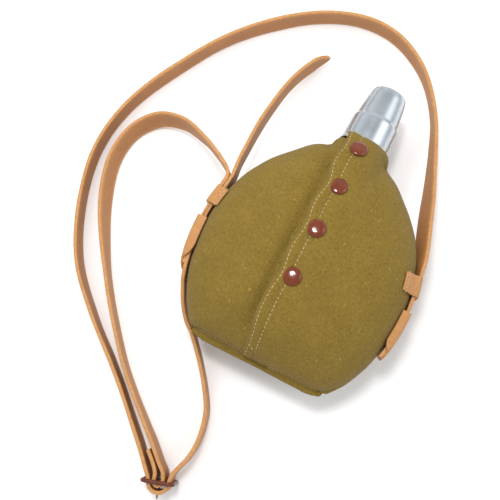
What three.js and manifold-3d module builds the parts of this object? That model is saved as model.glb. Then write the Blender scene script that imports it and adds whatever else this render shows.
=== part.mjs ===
// Round army canteen in a felt cover, lying on its back with its carrying strap spread on the table.
// Millimetres, +Z up. +Y runs from the canteen's bottom edge to its neck, +X to its right.
// The origin is on the table, under the middle of the canteen without its loose strap.
import * as THREE from 'three';
import { mergeVertices } from 'three/addons/utils/BufferGeometryUtils.js';
import Module from 'manifold-3d';

const wasm = await Module();
wasm.setup();

// Cover outline, seen from the front, measured from its bottom edge
const coverWidth = 158;
const widestHeight = 82;
const shoulderHeight = 170.4;
const bottomWidth = 98;
const bottomCornerRound = 8;
const sideFullness = 0.608;
const coverThickness = 78;
const profilePower = 2.6;
const restFlat = 0.8;
const clearance = 0.3;

// Felt
const feltThickness = 2;
const feltToFlask = 1.2;
const collarTop = 179.4;
const neckRadius = 15.7;
const collarFit = 2.1;
const flareStart = 136;
const flareSink = 2.65;
const shoulderFlare = [
  [frontRise(flareStart) - flareSink, flareStart], [31.4, 148], [30.4, 160], [28, 167], [24.4, 173],
  [neckRadius + feltThickness + collarFit, collarTop],
];
const seamGap = 0.3;

// Flap that closes the front, with its four snaps
const flapFreeEdge = -10;
const flapSewnEdge = 9.7;
const flapLift = 2;
const flapThickness = 2.2;
const snapHeights = [64.5, 100.6, 134.3, 166];
const snapCapRadius = 6.4;
const snapCapHeight = 2.4;
const snapFlangeRadius = 4.5;
const snapShankRadius = 1.3;
const snapPostRadius = 0.9;
const socketBore = 2;

// Aluminium flask, cork and cup
const flaskWall = 1.2;
const threadCrest = 1.2;
const mouthRadius = 14.2;
const mouthTop = 208.5;
const corkDepth = 22;
const corkFit = 0.25;
const cupLength = 48.9;
const cupFit = 0.1;
const cupSkirtTaper = 0.3;
const cupRimFlare = 1.3;
const cupStepHeight = 22.5;
const cupTopRadius = 13.3;
const cupWall = 0.9;
const cupSkirtRadius = neckRadius + threadCrest + cupFit + cupWall + cupSkirtTaper;
const cupBaseRadius = cupSkirtRadius + cupRimFlare;
const cupSeatGap = 0.3;

// Strap and the leather on the cover's sides
const strapWidth = 18;
const strapThickness = 2.8;
const leatherThickness = 1.7;
const rightPocketSlack = 2;
const keeperLength = 14.4;
const keeperMiddleRight = 101.5;
const keeperMiddleLeft = 98;
const keeperReachRight = 20.5;
const keeperReachLeft = 15.5;
const keeperReachBack = 18;
const anchorBottom = 42.5;
const anchorTop = 82.5;
const anchorReach = 12.5;
const loopSlope = 4.5;

// Buckle
const buckleLength = 25.7;
const wireThickness = 3;
const barRadius = 1.5;
const windowHeight = strapWidth + 1;
const prongRadius = 1.1;
const prongLength = 12.8;
const prongPlay = 0.8;
const buckleX = -24.4;
const buckleY = -218.6;
const buckleTurn = 18.4;

const halfThickness = coverThickness / 2;
const midHeight = halfThickness - restFlat;
const cupBase = collarTop + cupSeatGap;
const originHeight = (cupBase + cupLength) / 2;
const buckleMid = windowHeight / 2 + wireThickness + clearance;
const flaskInset = feltThickness + feltToFlask;

function finish(color, roughness, metalness) {
  return new THREE.MeshStandardMaterial({ color, roughness, metalness });
}
const felt = finish(0x8e7536, 1, 0);
const leather = finish(0xb4825a, 0.6, 0);
const aluminium = finish(0xaab2b8, 0.3, 1);
const enamel = finish(0x78301a, 0.25, 0);
const nickel = finish(0xb8b4aa, 0.35, 1);
const buckleMetal = finish(0x5a2a18, 0.35, 0.3);
const cork = finish(0xc09a66, 0.9, 0);

// Solids for cutting and joining
function solidOf(geometry) {
  const bare = geometry.clone();
  bare.deleteAttribute('normal');
  bare.deleteAttribute('uv');
  const merged = mergeVertices(bare, 1e-4);
  return new wasm.Manifold(new wasm.Mesh({
    numProp: 3,
    vertProperties: new Float32Array(merged.attributes.position.array),
    triVerts: new Uint32Array(merged.index.array),
  }));
}

function geometryOf(solid) {
  const mesh = solid.getMesh();
  const geometry = new THREE.BufferGeometry();
  geometry.setAttribute('position', new THREE.BufferAttribute(mesh.vertProperties, 3));
  geometry.setIndex(new THREE.BufferAttribute(mesh.triVerts, 1));
  geometry.computeVertexNormals();
  return geometry;
}

function block(low, high) {
  const geometry = new THREE.BoxGeometry(high[0] - low[0], high[1] - low[1], high[2] - low[2]);
  geometry.translate((low[0] + high[0]) / 2, (low[1] + high[1]) / 2, (low[2] + high[2]) / 2);
  return solidOf(geometry);
}

function turned(profile, sides = 32) {
  return new THREE.LatheGeometry(profile.map(([radius, along]) => new THREE.Vector2(radius, along)), sides);
}

function named(name, geometry, material) {
  const mesh = new THREE.Mesh(geometry, material);
  mesh.name = name;
  return mesh;
}

// The cover's outline. inset moves it inwards all round.
const cornerSlope = new THREE.Vector2(
  (coverWidth - bottomWidth) / 2, widestHeight * (1 - sideFullness)).normalize();
const sideEnd = new THREE.Vector2(bottomWidth / 2, 0).addScaledVector(cornerSlope, bottomCornerRound);

function sideCurve() {
  return new THREE.QuadraticBezierCurve(
    new THREE.Vector2(coverWidth / 2, widestHeight),
    new THREE.Vector2(coverWidth / 2, widestHeight * (1 - sideFullness)),
    sideEnd);
}

function outlineHalfWidth(height) {
  const half = coverWidth / 2;
  if (height >= widestHeight) {
    const share = (height - widestHeight) / (shoulderHeight - widestHeight);
    return half * Math.sqrt(1 - share * share);
  }
  const curve = sideCurve();
  let low = 0;
  let high = 1;
  for (let i = 0; i < 40; i += 1) {
    const middle = (low + high) / 2;
    if (curve.getPoint(middle).y > height) low = middle;
    else high = middle;
  }
  return curve.getPoint(low).x;
}

function outlinePoints(inset, count) {
  const half = coverWidth / 2 - inset;
  const bottomEnd = bottomWidth / 2 - bottomCornerRound;
  const corner = bottomWidth / 2 - inset * 0.7;
  const controlY = widestHeight * (1 - sideFullness);
  const endX = sideEnd.x - inset * 0.85;
  const endY = sideEnd.y + inset * 0.6;
  const shape = new THREE.Path();
  shape.moveTo(0, inset);
  shape.lineTo(bottomEnd, inset);
  shape.quadraticCurveTo(corner, inset, endX, endY);
  shape.quadraticCurveTo(half, controlY, half, widestHeight);
  shape.absellipse(0, widestHeight, half, shoulderHeight - inset - widestHeight, 0, Math.PI, false);
  shape.quadraticCurveTo(-half, controlY, -endX, endY);
  shape.quadraticCurveTo(-corner, inset, -bottomEnd, inset);
  shape.lineTo(0, inset);
  return shape.getSpacedPoints(count).slice(0, count);
}

// A lens with that outline. Towards its middle the outline eases into an ellipse.
function lens(inset, around = 44, rings = 12) {
  const half = coverWidth / 2 - inset;
  const up = shoulderHeight - inset - widestHeight;
  const down = widestHeight - inset;
  const depth = halfThickness - inset;
  const edge = outlinePoints(inset, around);
  const positions = [];
  for (let ring = 1; ring < rings; ring += 1) {
    const angle = -Math.PI / 2 + Math.PI * ring / rings;
    const share = Math.cos(angle) ** (2 / profilePower);
    for (const point of edge) {
      const x = point.x;
      const y = point.y - widestHeight;
      const reach = Math.hypot(x, y);
      const rise = y > 0 ? up : down;
      const oval = 1 / Math.hypot(x / reach / half, y / reach / rise);
      const radius = share * (oval + (reach - oval) * share * share);
      positions.push(x / reach * radius, widestHeight + y / reach * radius, depth * Math.sin(angle));
    }
  }
  const back = positions.length / 3;
  positions.push(0, widestHeight, -depth, 0, widestHeight, depth);
  const faces = [];
  for (let ring = 0; ring < rings - 2; ring += 1) {
    for (let i = 0; i < around; i += 1) {
      const a = ring * around + i;
      const b = ring * around + (i + 1) % around;
      faces.push(a, b, b + around, a, b + around, a + around);
    }
  }
  const last = (rings - 2) * around;
  for (let i = 0; i < around; i += 1) {
    const next = (i + 1) % around;
    faces.push(back, next, i, back + 1, last + i, last + next);
  }
  const geometry = new THREE.BufferGeometry();
  geometry.setAttribute('position', new THREE.Float32BufferAttribute(positions, 3));
  geometry.setIndex(faces);
  return solidOf(geometry);
}

// Round shoulder under the neck as radius and height, moved out square to itself by an amount
function flare(grow) {
  return shoulderFlare.map(([radius, height], i) => {
    const before = shoulderFlare[Math.max(0, i - 1)];
    const after = shoulderFlare[Math.min(shoulderFlare.length - 1, i + 1)];
    const along = new THREE.Vector2(after[0] - before[0], after[1] - before[1]).normalize();
    return [radius + along.y * grow, height - along.x * grow];
  });
}

function collar(grow, top) {
  const points = flare(grow).filter(([, height]) => height < top);
  const rim = points[points.length - 1][0];
  return solidOf(turned([[0, points[0][1]], ...points, [rim, top], [0, top]]));
}

function feltForm(grow, top) {
  return lens(-grow).add(collar(grow, top));
}

// Height of the front surface over the mid plane on the centre line, and how far it tilts towards the neck
function flareRadius(height) {
  const next = shoulderFlare.findIndex(([, y]) => y >= height);
  if (next <= 0) return next === 0 ? 0 : shoulderFlare[shoulderFlare.length - 1][0];
  const [lowRadius, lowHeight] = shoulderFlare[next - 1];
  const [highRadius, highHeight] = shoulderFlare[next];
  return lowRadius + (highRadius - lowRadius) * (height - lowHeight) / (highHeight - lowHeight);
}

function frontRise(height) {
  const reach = height > widestHeight ? shoulderHeight - widestHeight : widestHeight;
  const share = Math.min(1, Math.abs(height - widestHeight) / reach);
  return coverThickness / 2 * Math.sqrt(1 - share ** profilePower);
}

function crown(height) {
  return Math.max(frontRise(height), flareRadius(height));
}

function tilt(height) {
  return Math.atan2(crown(height - 4) - crown(height + 4), 8);
}

// Snap pieces are turned about their own axis and seated square to the surface
function seated(geometry, height) {
  const placed = geometry.clone();
  placed.rotateX(Math.PI / 2);
  placed.rotateX(-tilt(height));
  placed.translate(0, height, crown(height));
  return placed;
}

function rod(radius, from, to, sides = 16) {
  return turned([[0, from], [radius, from], [radius, to], [0, to]], sides);
}

const flapTop = flapLift + flapThickness;
const socketLow = flapLift - 1;
const socketHigh = flapLift - clearance;

const snapShapes = {
  snap_cap: [enamel, turned([
    [0, flapLift], [snapShankRadius, flapLift], [snapShankRadius, flapTop + clearance],
    [snapCapRadius - 0.4, flapTop + clearance], [snapCapRadius, flapTop + clearance + 0.4],
    [snapCapRadius * 0.9, flapTop + snapCapHeight * 0.55], [snapCapRadius * 0.6, flapTop + snapCapHeight * 0.86],
    [0, flapTop + snapCapHeight],
  ], 18)],
  snap_socket: [nickel, turned([
    [socketBore, socketLow], [snapFlangeRadius, socketLow], [snapFlangeRadius, socketHigh],
    [socketBore, socketHigh], [socketBore, socketLow],
  ], 18)],
  snap_stud: [nickel, turned([
    [0, clearance], [snapFlangeRadius, clearance], [snapFlangeRadius, clearance + 0.4],
    [socketBore - clearance, clearance + 0.4], [socketBore - clearance, socketHigh - clearance],
    [0, socketHigh - clearance],
  ], 14)],
  snap_post: [nickel, turned([
    [0, -flaskInset + clearance], [snapFlangeRadius, -flaskInset + clearance],
    [snapFlangeRadius, -feltThickness - clearance], [snapPostRadius, -feltThickness - clearance],
    [snapPostRadius, 0], [0, 0],
  ], 14)],
};

function snaps() {
  const pieces = [];
  for (const [kind, [material, shape]] of Object.entries(snapShapes)) {
    snapHeights.forEach((height, i) => {
      pieces.push(named(`${kind}_${i + 1}`, seated(shape, height), material));
    });
  }
  return pieces;
}

// Cover panels: back, the front left panel that runs on under the flap, front right, and the flap
function coverPanels() {
  const wide = coverWidth;
  const far = collarTop + 20;
  const shell = feltForm(0, collarTop).subtract(feltForm(-feltThickness, collarTop + 1));
  const backHalf = block([-wide, -20, -midHeight], [wide, far, -seamGap / 2]);
  const leftHalf = block([-wide, -20, seamGap / 2], [flapSewnEdge, far, wide]);
  const rightHalf = block([flapSewnEdge + clearance, -20, seamGap / 2], [wide, far, wide]);
  const strip = block([flapFreeEdge, 4, 8], [flapSewnEdge, collarTop - clearance, wide]);
  let left = shell.intersect(leftHalf);
  let right = shell.intersect(rightHalf);
  let flap = feltForm(flapTop, collarTop).subtract(feltForm(flapLift, collarTop + 1)).intersect(strip);
  for (const height of snapHeights) {
    const cut = (radius, from, to) => solidOf(seated(rod(radius, from, to, 20), height));
    left = left.subtract(cut(snapPostRadius + clearance, -flaskInset, 1));
    left = left.subtract(cut(snapFlangeRadius + clearance, 0, clearance + 1));
    left = left.subtract(cut(snapFlangeRadius + clearance, -flaskInset, -feltThickness));
    right = right.subtract(cut(snapFlangeRadius + clearance, 0, 2));
    flap = flap.subtract(cut(snapShankRadius + clearance, 0, flapTop + 2));
    flap = flap.subtract(cut(snapFlangeRadius + clearance, socketLow - clearance, flapLift));
    flap = flap.subtract(cut(snapCapRadius + clearance, flapTop, flapTop + 4));
  }
  return [
    named('cover_back', geometryOf(shell.intersect(backHalf)), felt),
    named('cover_front_left', geometryOf(left), felt),
    named('cover_front_right', geometryOf(right), felt),
    named('cover_flap', geometryOf(flap), felt),
  ];
}

// Flask: a thin shell with a threaded neck and an open mouth
function neckProfile(shrink, top) {
  const under = flare(-flaskInset - shrink);
  const neck = neckRadius - shrink;
  const mouth = mouthRadius - shrink;
  return [
    [0, under[0][1]], ...under, [neck, collarTop + 0.4], [neck, collarTop + 13],
    [mouth, collarTop + 18], [mouth, top], [0, top],
  ];
}

function threadRing(height) {
  const neck = neckRadius;
  return solidOf(turned([
    [neck - 1, height - 1.6], [neck, height - 1.6], [neck + threadCrest, height - 0.5],
    [neck + threadCrest, height + 0.5], [neck, height + 1.6], [neck - 1, height + 1.6],
    [neck - 1, height - 1.6],
  ]));
}

function flaskBody() {
  const lip = turned([
    [mouthRadius - 0.8, mouthTop - 2.6], [mouthRadius + 0.9, mouthTop - 2.2],
    [mouthRadius + 0.9, mouthTop - 0.6], [mouthRadius - 0.2, mouthTop],
    [mouthRadius - 0.8, mouthTop], [mouthRadius - 0.8, mouthTop - 2.6],
  ]);
  let body = lens(flaskInset, 36, 10).add(solidOf(turned(neckProfile(0, mouthTop))));
  for (const height of [4, 9]) body = body.add(threadRing(collarTop + height));
  const hollow = lens(flaskInset + flaskWall, 36, 10)
    .add(solidOf(turned(neckProfile(flaskWall, mouthTop + 5))));
  return named('flask_body', geometryOf(body.add(solidOf(lip)).subtract(hollow)), aluminium);
}

function stopper() {
  const bore = mouthRadius - flaskWall - corkFit;
  const corkTop = mouthTop + 3;
  const corkShape = turned([
    [0, mouthTop - corkDepth], [bore - 1.2, mouthTop - corkDepth], [bore, mouthTop - 2],
    [bore, corkTop], [0, corkTop],
  ], 28);
  const headLow = corkTop + clearance;
  const headShape = turned([
    [0, headLow], [bore - 0.6, headLow], [bore - 0.6, headLow + 1.2], [4.2, headLow + 1.6],
    [3.6, headLow + 3.4], [5.4, headLow + 5], [5.4, headLow + 6.4], [4.4, headLow + 7.2], [0, headLow + 7.2],
  ], 28);
  return [named('stopper_cork', corkShape, cork), named('stopper_head', headShape, aluminium)];
}

// Drinking cup that slips over the neck: a wide skirt, a step, then a taper to the closed end
function cup() {
  const step = cupStepHeight;
  const skirt = cupSkirtRadius;
  const upper = cupBaseRadius - 2.6;
  const end = cupLength;
  const profile = [
    [cupBaseRadius - cupWall, 0], [cupBaseRadius, 0], [cupBaseRadius, 1.2], [skirt + 0.4, 2.6],
    [skirt - cupSkirtTaper, step - 1], [upper, step + 1.2], [cupTopRadius + 1, end - 5],
    [cupTopRadius, end - 1.6], [cupTopRadius - 1.8, end], [0, end],
    [0, end - cupWall], [cupTopRadius - 2.2, end - cupWall], [cupTopRadius - cupWall, end - 2.4],
    [cupTopRadius + 1 - cupWall, end - 5.2], [upper - cupWall, step + 0.8],
    [skirt - cupSkirtTaper - cupWall, step - 1.4], [skirt - cupWall + 0.4, 2.4], [cupBaseRadius - cupWall, 0],
  ];
  const geometry = turned(profile, 36);
  geometry.translate(0, cupBase, 0);
  return named('cup_cap', geometry, aluminium);
}

// Leather on the sides. A path follows the cover's outline at mid thickness, set off outwards.
function sidePath(side, from, to, offset, steps = 6) {
  const points = [];
  for (let i = 0; i <= steps; i += 1) {
    const height = from + (to - from) * i / steps;
    const slope = (outlineHalfWidth(height + 0.5) - outlineHalfWidth(height - 0.5));
    const normal = new THREE.Vector2(1, -slope).normalize();
    const x = outlineHalfWidth(height) + normal.x * offset;
    points.push(new THREE.Vector3(side * x, height + normal.y * offset, 0));
  }
  return points;
}

function sweep(section, points, steps) {
  return new THREE.ExtrudeGeometry(section, {
    steps, bevelEnabled: false, extrudePath: new THREE.CatmullRomCurve3(points, false, 'centripetal'),
  });
}

function strapSection() {
  const half = strapWidth / 2;
  const thick = strapThickness / 2;
  const ease = 0.6;
  return new THREE.Shape([
    [-half, -thick + ease], [-half + ease, -thick], [half - ease, -thick], [half, -thick + ease],
    [half, thick - ease], [half - ease, thick], [-half + ease, thick], [-half, thick - ease],
  ].map(([x, y]) => new THREE.Vector2(x, y)));
}

// A loop of leather over the strap, from a wing on the front felt to a wing on the back felt
const oneStrap = strapThickness + 2 * clearance + rightPocketSlack;
const twoStraps = 2 * strapThickness + 3 * clearance;

function loopSection(pocketDepth, reachFront, reachBack) {
  const flat = strapWidth / 2 + 0.6;
  const inner = [];
  const samples = 18;
  const spacing = (reachFront + reachBack) / samples;
  for (let i = 0; i <= samples; i += 1) {
    const even = -reachBack + spacing * i;
    const z = Math.abs(Math.abs(even) - flat) < spacing / 2 ? Math.sign(even) * flat : even;
    const share = (1 - (z / halfThickness) ** 2) ** (1 / profilePower);
    const feltAt = -(coverWidth / 2) * (1 - share) + clearance + 0.2;
    const roof = pocketDepth - Math.max(0, Math.abs(z) - flat) * loopSlope;
    inner.push(new THREE.Vector2(-z, Math.max(feltAt, roof)));
  }
  const outer = inner.map((point, i) => {
    const before = inner[Math.max(0, i - 1)];
    const after = inner[Math.min(samples, i + 1)];
    const along = after.clone().sub(before).normalize();
    return new THREE.Vector2(point.x + along.y * leatherThickness, point.y - along.x * leatherThickness);
  });
  return new THREE.Shape([...inner, ...outer.reverse()]);
}

function sideLoop(side, bottom, top, reachFront, reachBack, steps) {
  const upward = sidePath(side, bottom, top, 0);
  const section = loopSection(side > 0 ? oneStrap : twoStraps, reachFront, reachBack);
  return sweep(section, side > 0 ? upward.reverse() : upward, steps);
}

function keeper(side, middle, reach) {
  return sideLoop(side, middle - keeperLength / 2, middle + keeperLength / 2, reach, keeperReachBack, 3);
}

function sideLeather() {
  return [
    named('keeper_right', keeper(1, keeperMiddleRight, keeperReachRight), leather),
    named('keeper_left', keeper(-1, keeperMiddleLeft, keeperReachLeft), leather),
    named('anchor_right', sideLoop(1, anchorBottom, anchorTop, anchorReach, anchorReach, 6), leather),
    named('anchor_left', sideLoop(-1, anchorBottom, anchorTop, anchorReach, anchorReach, 6), leather),
  ];
}

// Strap stretches that the cover holds. The inner layer lies on the felt, the outer one on the inner.
const innerLayer = clearance + strapThickness / 2;
const outerLayer = innerLayer + strapThickness + clearance;
const heldTop = 109.3;

function heldStrap() {
  const low = anchorBottom + 1.5;
  const lowPath = sidePath(-1, low - 0.4, low - 3, innerLayer, 1).concat([
    [-73.4, 33, -4], [-67.6, 19, -10], [-60.2, 8.2, -16], [-52.6, 1.3, -20],
  ].map(([x, y, z]) => new THREE.Vector3(x, y, z)));
  return [
    named('strap_right_end', sweep(strapSection(), sidePath(1, low, heldTop, innerLayer, 8), 14), leather),
    named('strap_left_end', sweep(strapSection(), sidePath(-1, low, heldTop, outerLayer, 8), 14), leather),
    named('strap_tail_side', sweep(strapSection(), sidePath(-1, heldTop, low, innerLayer, 8), 16), leather),
    named('strap_tail_low', sweep(strapSection(), lowPath, 12), leather),
  ];
}

// Free strap, standing on edge on the table. Routes run from the canteen outwards.
const longRoute = [
  [76.4, -3.3, 38.2], [74.9, 3, 38.2], [72.4, 13, 36.4], [66, 36, 29], [58, 65, 20], [47, 99, 12.5],
  [36, 125, 9.6], [21, 147, 9.4], [3, 163, 9.4], [-18, 173.5, 9.4], [-42, 176.5, 9.4], [-68, 171, 9.4],
  [-98, 155, 9.4], [-138, 119, 9.4], [-168, 73, 9.4], [-189, 26, 9.4], [-194, -14, 9.4], [-184, -59, 9.4],
  [-163, -101, 9.4], [-132, -133, 9.4], [-97, -161, 9.4], [-69, -185, 10.2], [-49.5, -202, 12.4],
  [-36.4, -215, 12.8],
];
const shortRoute = [
  [-79.6, -2.2, 38.2], [-80, 1.5, 38.2], [-82.8, 6.2, 37.4], [-89, 11, 35], [-98, 16.5, 31.6],
  [-114, 24.5, 25], [-139, 31.5, 16], [-160, 27, 11], [-174, 10, 9.4], [-177.5, -16, 9.4],
  [-167, -51, 9.4], [-146, -88, 9.4], [-118, -125, 9.4],
  [-86, -160, 10], [-52.6, -187.6, 12.3], [-42, -195.8, 12.8], [-34.2, -202.8, 12.8],
];
const tailRoute = [
  [-17.4, -208.2, 12.8], [-15.9, -203, 12.8], [-13.4, -195, 12], [-12.4, -181, 10], [-17, -160, 9.4],
  [-27, -143.5, 9.8],
  [-38, -129.5, 12], [-46.4, -119.8, 15.4], [-51.2, -114.5, 17.4],
];
const tipRoute = [
  [-76.4, -3.3, 38.2], [-76.9, 3, 38.2], [-78.6, 16, 35.5], [-79.8, 30.3, 31], [-80.4, 61, 24],
  [-75.9, 100.8, 16], [-67.1, 124.7, 11.5], [-59.8, 135.6, 9.4],
];

function freeStrap(name, route, steps) {
  const points = route.map(([x, y, z]) => new THREE.Vector3(x, y, z));
  return named(name, sweep(strapSection(), points, steps), leather);
}

// Buckle, in its own frame: X along the frame, Y towards the canteen, Z up the centre bar
function buckleFrame() {
  const height = windowHeight + 2 * wireThickness;
  const rounded = (width, tall, radius, path) => {
    const x = width / 2;
    const y = tall / 2;
    path.moveTo(x - radius, -y);
    path.absarc(x - radius, -y + radius, radius, -Math.PI / 2, 0, false);
    path.absarc(x - radius, y - radius, radius, 0, Math.PI / 2, false);
    path.absarc(-x + radius, y - radius, radius, Math.PI / 2, Math.PI, false);
    path.absarc(-x + radius, -y + radius, radius, Math.PI, Math.PI * 1.5, false);
    path.closePath();
    return path;
  };
  const shape = rounded(buckleLength, height, 4, new THREE.Shape());
  shape.holes.push(rounded(buckleLength - 2 * wireThickness, windowHeight, 1.2, new THREE.Path()));
  const geometry = new THREE.ExtrudeGeometry(shape, { depth: wireThickness, bevelEnabled: false, curveSegments: 5 });
  geometry.translate(0, 0, -wireThickness / 2);
  geometry.rotateX(Math.PI / 2);
  return named('buckle_frame', geometry, buckleMetal);
}

function upright(geometry) {
  geometry.rotateX(Math.PI / 2);
  return geometry;
}

function buckleBar() {
  const half = windowHeight / 2 - clearance;
  return named('buckle_bar', upright(rod(barRadius, -half, half)), buckleMetal);
}

function buckleProng() {
  const inner = barRadius + clearance;
  const outer = inner + 1.2;
  const eye = upright(turned([
    [inner, -prongRadius], [outer, -prongRadius], [outer, prongRadius], [inner, prongRadius], [inner, -prongRadius],
  ], 24));
  const arm = turned([
    [0, -prongLength], [0.5, -prongLength + 0.4], [prongRadius, -prongLength + 3],
    [prongRadius, -inner - 0.5], [0, -inner - 0.5],
  ], 12);
  return named('buckle_prong', geometryOf(solidOf(eye).add(solidOf(arm))), buckleMetal);
}

// The short strap folds round the centre bar, slotted for the prong. The long strap turns round that fold.
function buckleStraps() {
  const flat = (points) => points.map(([x, y]) => new THREE.Vector3(x, y, 0));
  const fold = sweep(strapSection(), flat([
    [-4.4, 17.2], [-1, 12.6], [2.2, 8], [3.6, 3.8], [3.2, -0.6], [0.2, -3.3], [-2.8, -1.7], [-3.3, 1.6],
    [-3.1, 4.6], [-3.3, 8], [-5.2, 10.9], [-8.4, 13.2], [-10.6, 14.9],
  ]), 44);
  const slotHalf = prongRadius + clearance + 0.2;
  const slot = block([-6, -5.4, -slotHalf], [6, 5.4, slotHalf]);
  const bend = sweep(strapSection(), flat([
    [-9.9, 6.5], [-7.7, 2.4], [-6.9, -1], [-5.7, -4.4], [-3, -6.7], [0.5, -7.4], [4, -6.7], [6.7, -4.2],
    [7.8, -0.4], [8.4, 3], [9.6, 7],
  ]), 30);
  const hole = solidOf(rod(prongRadius + prongPlay, -12, -3));
  return [
    named('strap_fold', geometryOf(solidOf(fold).subtract(slot)), leather),
    named('strap_bend', geometryOf(solidOf(bend).subtract(hole)), leather),
  ];
}

const canteen = new THREE.Group();
canteen.position.set(0, -originHeight, midHeight);
canteen.add(flaskBody(), ...stopper(), cup(), ...coverPanels(), ...snaps(), ...sideLeather(), ...heldStrap());

const buckle = new THREE.Group();
buckle.position.set(buckleX, buckleY, buckleMid);
buckle.rotation.z = THREE.MathUtils.degToRad(buckleTurn);
buckle.add(buckleFrame(), buckleBar(), buckleProng(), ...buckleStraps());

const part = new THREE.Group();
part.add(canteen, buckle);
part.add(freeStrap('strap_long', longRoute, 78));
part.add(freeStrap('strap_short', shortRoute, 46));
part.add(freeStrap('strap_tail', tailRoute, 14));
part.add(freeStrap('strap_tip', tipRoute, 14));

export default part;
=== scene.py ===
import math

import bmesh
import bpy
import numpy as np
from mathutils import Matrix, Vector, noise


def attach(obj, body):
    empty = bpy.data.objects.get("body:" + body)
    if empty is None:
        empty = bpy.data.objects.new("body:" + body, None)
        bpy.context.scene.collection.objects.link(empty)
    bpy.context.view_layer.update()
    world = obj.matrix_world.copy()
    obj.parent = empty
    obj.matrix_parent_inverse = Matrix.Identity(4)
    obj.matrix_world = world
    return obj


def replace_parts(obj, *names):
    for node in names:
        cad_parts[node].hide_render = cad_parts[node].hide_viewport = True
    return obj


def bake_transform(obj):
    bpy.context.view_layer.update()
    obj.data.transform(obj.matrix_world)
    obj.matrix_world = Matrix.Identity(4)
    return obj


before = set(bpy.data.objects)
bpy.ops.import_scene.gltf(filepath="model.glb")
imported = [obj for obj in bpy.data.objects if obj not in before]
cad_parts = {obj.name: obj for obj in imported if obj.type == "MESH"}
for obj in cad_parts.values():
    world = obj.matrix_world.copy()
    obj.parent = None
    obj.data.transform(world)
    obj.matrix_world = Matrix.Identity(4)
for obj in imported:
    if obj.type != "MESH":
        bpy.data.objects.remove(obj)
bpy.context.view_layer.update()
scene = bpy.context.scene
mm = 0.001
# Turned forms stop just short of their axis.
nearAxis = 0.001

# Camera, floor and light
shot = {
    "place": (0.0413, -0.1205, 0.5634),
    "turn": (11.6826, 3.8797, 27.3106),
    "lens": 52.624,
    "floorSize": 6.0,
    "keyPlace": (-0.6, 0.3, 1.1),
    "keySize": 0.9,
    "keyPower": 7.0,
    "topPlace": (-0.12, 0.1, 0.9),
    "topSize": 0.17,
    "topPower": 3.4,
    "zenith": 0.55,
    "horizon": 1.2,
    "skyFall": (0.15, 0.95),
    "skyEdge": 0.3,
    "skyEdgeShare": 0.25,
    "panelWay": (0.66, 0.39, 0.64),
    "panelEdge": (0.93, 0.985),
    "panel": 1.6,
    "skyColour": (0.985, 0.99, 1.0),
    "paper": (0.95, 0.95, 0.955),
}


def aimedLamp(name, place, size, power):
    lamp = bpy.data.lights.new(name, "AREA")
    lamp.size = size
    lamp.energy = power
    holder = bpy.data.objects.new(name, lamp)
    holder.location = place
    holder.rotation_euler = (-Vector(place)).to_track_quat("-Z", "Y").to_euler()
    scene.collection.objects.link(holder)
    return holder


def layFloor():
    half = shot["floorSize"] / 2
    corners = [(-half, -half, 0), (half, -half, 0), (half, half, 0), (-half, half, 0)]
    sheet = bpy.data.meshes.new("floor")
    sheet.from_pydata(corners, [], [(0, 1, 2, 3)])
    floor = bpy.data.objects.new("floor", sheet)
    scene.collection.objects.link(floor)
    paper = bpy.data.materials.new("whitePaper")
    paper.use_nodes = True
    surface = paper.node_tree.nodes["Principled BSDF"]
    surface.inputs["Base Color"].default_value = (*shot["paper"], 1)
    surface.inputs["Roughness"].default_value = 0.9
    sheet.materials.append(paper)


def rangeNode(tree, source, fromRange, toRange, smoothStep=False):
    made = tree.nodes.new("ShaderNodeMapRange")
    if smoothStep:
        made.interpolation_type = "SMOOTHSTEP"
    for names, values in ((("From Min", "From Max"), fromRange), (("To Min", "To Max"), toRange)):
        for name, value in zip(names, values):
            made.inputs[name].default_value = value
    tree.links.new(source, made.inputs["Value"])
    return made.outputs["Result"]


def lightTheSky():
    # Darker overhead, brighter lower down, dark again at the floor, with one bright patch for the metal.
    world = scene.world or bpy.data.worlds.new("studio")
    scene.world = world
    world.use_nodes = True
    sky = world.node_tree
    way = sky.nodes.new("ShaderNodeTexCoord").outputs["Generated"]
    split = sky.nodes.new("ShaderNodeSeparateXYZ")
    sky.links.new(way, split.inputs["Vector"])
    fall = rangeNode(sky, split.outputs["Z"], shot["skyFall"], (shot["horizon"], shot["zenith"]), True)
    edge = rangeNode(sky, split.outputs["Z"], (0, shot["skyEdge"]), (shot["skyEdgeShare"], 1))
    facing = sky.nodes.new("ShaderNodeVectorMath")
    facing.operation = "DOT_PRODUCT"
    facing.inputs[1].default_value = Vector(shot["panelWay"]).normalized()
    sky.links.new(way, facing.inputs[0])
    panel = rangeNode(sky, facing.outputs["Value"], shot["panelEdge"], (0, shot["panel"]), True)
    both = sky.nodes.new("ShaderNodeMath")
    both.operation = "MULTIPLY_ADD"
    for source, socket in zip((fall, edge, panel), both.inputs):
        sky.links.new(source, socket)
    sky.links.new(both.outputs["Value"], sky.nodes["Background"].inputs["Strength"])
    sky.nodes["Background"].inputs["Color"].default_value = (*shot["skyColour"], 1)


def setTheShot():
    camera = bpy.data.cameras.new("camera")
    camera.lens = shot["lens"]
    camera.clip_start = 0.01
    eye = bpy.data.objects.new("camera", camera)
    eye.location = shot["place"]
    eye.rotation_euler = [math.radians(a) for a in shot["turn"]]
    scene.collection.objects.link(eye)
    scene.camera = eye
    layFloor()
    key = aimedLamp("keySoftbox", shot["keyPlace"], shot["keySize"], shot["keyPower"])
    key.visible_glossy = False
    aimedLamp("topSoftbox", shot["topPlace"], shot["topSize"], shot["topPower"])
    lightTheSky()
    scene.view_settings.view_transform = "Standard"


setTheShot()
print("shot set")


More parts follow.
